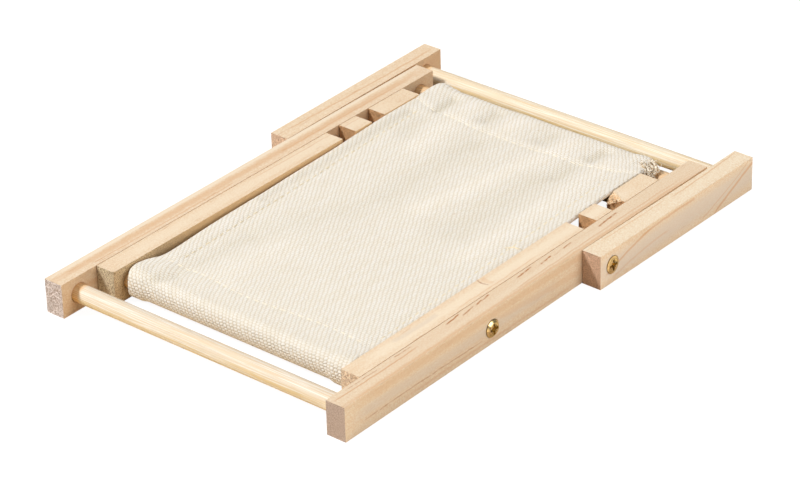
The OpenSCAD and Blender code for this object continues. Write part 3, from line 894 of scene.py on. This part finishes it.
def stitches():
    """The rows across both sleeves and along both side hems. reach is how far a row across goes
    from the middle, apart from small differences at its left end."""
    thread = thread_material("thread", (0.965, 0.960, 0.945))
    side_thread = thread_material("side_thread", (0.97, 0.90, 0.74))
    reach = 36.2 * MM
    stitch_row("lower_hem_stitches", ["lower_hem_stitching"], "seat_frame",
               lambda x: (x, float(lower_row(x))), (-reach + 3.0 * MM, reach),
               radius=0.12 * MM, seed=3, material=thread)
    stitch_row("upper_hem_stitches", ["upper_hem_stitching"], "back_frame",
               lambda x: (x, float(upper_row(x))), (-reach - 1.8 * MM, reach),
               radius=0.10 * MM, seed=5, material=thread)
    for word, side in (("left", -1), ("right", 1)):
        stitch_row("side_stitches_" + word,
                   ["side_stitching_seat_" + word, "side_stitching_back_" + word], None,
                   lambda y, side=side: (float(side_row(y, side)), y),
                   (lower_row_y + 4 * MM, upper_row_y), radius=0.11 * MM, seed=7 + side,
                   material=side_thread, loose=LOOSE_END if side > 0 else ())


# ---------------------------------------------------------------- frayed corner

# The sleeve's folded lips at its frayed end: radius, and places from the bar's middle, in mm.
FRAYED_LIPS = (
    (0.55, ((35.4, -2.6, 4.6), (36.8, -3.6, 4.5), (38.0, -4.6, 3.8), (38.2, -5.4, 2.8))),
    (0.50, ((35.6, -1.4, 4.4), (37.2, -2.6, 4.3), (38.6, -3.6, 3.4), (38.9, -4.6, 2.2))),
    (0.45, ((35.8, 0.4, 4.6), (37.6, 0.2, 4.6), (39.2, -0.8, 4.0), (39.8, -2.0, 3.0),
            (39.4, -3.2, 2.2), (38.6, -3.8, 1.8))),
    (0.40, ((36.6, -0.8, 4.2), (38.2, -1.2, 3.8), (39.0, -2.2, 2.8), (38.6, -3.0, 1.8))),
)


def spline(knots):
    """A smooth line through a few points."""
    share = np.linspace(0, len(knots) - 1, 4 * len(knots))
    line = np.stack([np.interp(share, range(len(knots)), axis) for axis in np.array(knots).T], -1)
    for _ in range(2):
        line[1:-1] = (line[:-2] + 2 * line[1:-1] + line[2:]) / 4
    return [tuple(p) for p in line.tolist()]


def frayed_corner():
    """Loops and loose fibres of canvas yarn where the right end of the upper sleeve frays."""
    rng = random.Random(11)
    bar = Vector((0, top_bar.y, top_bar.z))
    s = Shader("yarn")
    place = s.place_mm()
    mottle = s.noise(place, 2.2, 2.0)
    color = s.mix(s.ramp(mottle, (0.36, 0.0), (0.56, 1.0)),
                  (0.520, 0.370, 0.210), (0.950, 0.885, 0.765))
    yarn = s.finish(color, 0.9, s.noise(place, 9.0, 2.0), 0.05 * MM, Specular_IOR_Level=0.15)
    parts = [tube([(bar + Vector(p) * MM)[:] for p in spline(lip)], radius * MM)
             for radius, lip in FRAYED_LIPS]
    fibres, steps = 90, 8
    # The fibres stay inside these limits.
    most_x, least_y, most_z = 40.6 * MM, 59.0 * MM, 10.4 * MM
    for _ in range(fibres):
        radius, lip = rng.choice(FRAYED_LIPS)
        at = bar + Vector(rng.choice(lip)) * MM
        heading = Vector((rng.uniform(-0.6, 1.0), rng.uniform(-1.0, 0.8), rng.uniform(-0.3, 0.9)))
        heading.normalize()
        axis = Vector((rng.uniform(-1, 1), rng.uniform(-1, 1), rng.uniform(-1, 1))).normalized()
        turn = rng.uniform(0.2, 0.6)
        line = []
        for _ in range(steps):
            line.append(tuple(at))
            heading = (heading + axis.cross(heading) * turn + Vector((0, 0, -0.08))).normalized()
            at = at + heading * rng.uniform(0.2, 0.34) * MM
            at.x = min(at.x, most_x)
            at.y = max(at.y, least_y)
            at.z = min(at.z, most_z)
        parts.append(tube(line, rng.uniform(0.05, 0.12) * MM, 6, taper=False))
    bunch = make_mesh("frayed_corner", *join(parts), yarn)
    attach(bunch, "back_frame")


# ---------------------------------------------------------------- broken chip

def broken_chip():
    """Torn fibres on the slope where a piece has broken out of the right seat rail."""
    rng = random.Random(23)
    fibres = 190
    from_end, chip_depth, chip_width = 15.3 * MM, 3.0 * MM, 5.2 * MM
    low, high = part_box("seat_rail_right")
    wall_y = high.y - from_end
    corner = Vector((low.x, wall_y, high.z - chip_depth))
    side = Vector((low.x + chip_width, wall_y, high.z))
    far = Vector((low.x, wall_y + chip_depth, high.z))
    out = (far - corner).cross(side - corner).normalized()
    if out.z < 0:
        out = -out
    parts = []
    for _ in range(fibres):
        a, b = rng.random(), rng.random()
        if a + b > 1:
            a, b = 1 - a, 1 - b
        start = corner.lerp(corner + (side - corner) * 0.94, a) + (far - corner) * b * 0.94
        length = rng.uniform(0.5, 1.5) * MM
        rise = rng.uniform(0.0, 0.16)
        line = []
        for k in range(5):
            t = k / 4
            p = start + Vector((rng.uniform(-0.05, 0.05) * MM, (t - 0.6) * length, 0))
            p += out * (0.05 + rise * (1 - t)) * MM + (far - corner).normalized() * t * length * 0.3
            p.z = min(p.z, high.z - 0.02 * MM)
            p.x = min(max(p.x, low.x + 0.02 * MM), high.x)
            line.append(tuple(p))
        parts.append(tube(line, rng.uniform(0.07, 0.17) * MM, 6))
    s = Shader("torn_fibres")
    place = s.place_mm()
    mottle = s.noise(place, (3.0, 0.8, 3.0), 2.0)
    color = s.mix(s.ramp(mottle, (0.40, 0.0), (0.62, 1.0)),
                  (0.900, 0.600, 0.330), (0.960, 0.820, 0.620))
    torn = make_mesh("torn_fibres", *join(parts),
                     s.finish(color, 0.8, mottle, 0.05 * MM, Specular_IOR_Level=0.25))
    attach(torn, "seat_frame")


# ---------------------------------------------------------------- stage and light

def add_floor(name, drop, color, emission):
    """A plane that lies this far below the part, with this colour and this much light of its own."""
    bpy.ops.mesh.primitive_plane_add(size=6, location=(0, 0, -drop))
    floor = bpy.context.object
    floor.name = name
    s = Shader(name)
    floor.data.materials.append(s.finish((*color, 1), 0.95, 0.0, 0.0, Emission_Color=(1, 1, 1, 1),
                                         Emission_Strength=emission, Specular_IOR_Level=0.0))
    return floor


def keep_floor_below(floors):
    """When the frames open, their far ends go below the rest, and the floors go down with them."""
    for body, node in (("seat_frame", "seat_rail_left"), ("prop_frame", "prop_rail_left")):
        low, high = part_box(node)
        for z in (low.z, high.z):
            end = bpy.data.objects.new("lowest_of_" + body, None)
            end.location = (0, high.y, z)
            bpy.context.scene.collection.objects.link(end)
            bpy.context.view_layer.update()
            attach(end, body)
            for floor in floors:
                limit = floor.constraints.new("FLOOR")
                limit.target = end
                limit.floor_location = "FLOOR_NEGATIVE_Z"


def set_stage():
    """A white floor that only the camera sees, and just under it a plain warm one that the camera
    doesn't see, which reflects light up at the chair. The sky is brighter overhead."""
    floor = add_floor("floor", 0.0, (0.18, 0.18, 0.18), 0.94)
    floor.visible_diffuse = floor.visible_glossy = floor.visible_shadow = False
    bounce = add_floor("bounce_floor", 0.1 * MM, (0.86, 0.71, 0.53), 0.0)
    bounce.visible_camera = False
    keep_floor_below([floor, bounce])
    world = bpy.data.worlds.new("studio")
    bpy.context.scene.world = world
    world.use_nodes = True
    tree = world.node_tree
    direction = tree.nodes.new("ShaderNodeTexCoord").outputs["Generated"]
    height = tree.nodes.new("ShaderNodeSeparateXYZ")
    tree.links.new(direction, height.inputs[0])
    level = tree.nodes.new("ShaderNodeMapRange")
    tree.links.new(height.outputs[2], level.inputs[0])
    for key, value in (("From Min", 0.0), ("From Max", 0.7), ("To Min", 0.12), ("To Max", 0.38)):
        level.inputs[key].default_value = value
    background = tree.nodes["Background"]
    tree.links.new(level.outputs[0], background.inputs[1])
    background.inputs[0].default_value = (1.0, 0.97, 0.93, 1)
    add_light("key", (-1.22, -1.32, 1.88), width=0.44, watts=60, color=(1.0, 0.995, 0.985))
    add_light("fill", (2.0, 0.3, 0.9), width=1.6, watts=18.4, color=(1.0, 0.98, 0.96))
    bpy.context.scene.view_settings.view_transform = "Standard"


def add_light(name, place, width, watts, color):
    """A round lamp at place that shines at the part."""
    light = bpy.data.objects.new(name, bpy.data.lights.new(name, "AREA"))
    light.data.shape = "DISK"
    light.data.size = width
    light.data.energy = watts
    light.data.color = color
    light.location = place
    light.rotation_mode = "QUATERNION"
    light.rotation_quaternion = (-Vector(place)).to_track_quat("-Z", "Y")
    bpy.context.scene.collection.objects.link(light)


# ---------------------------------------------------------------- the scene

place_camera()
set_stage()
dress_frame()
canvas_sling()
stitches()
frayed_corner()
broken_chip()
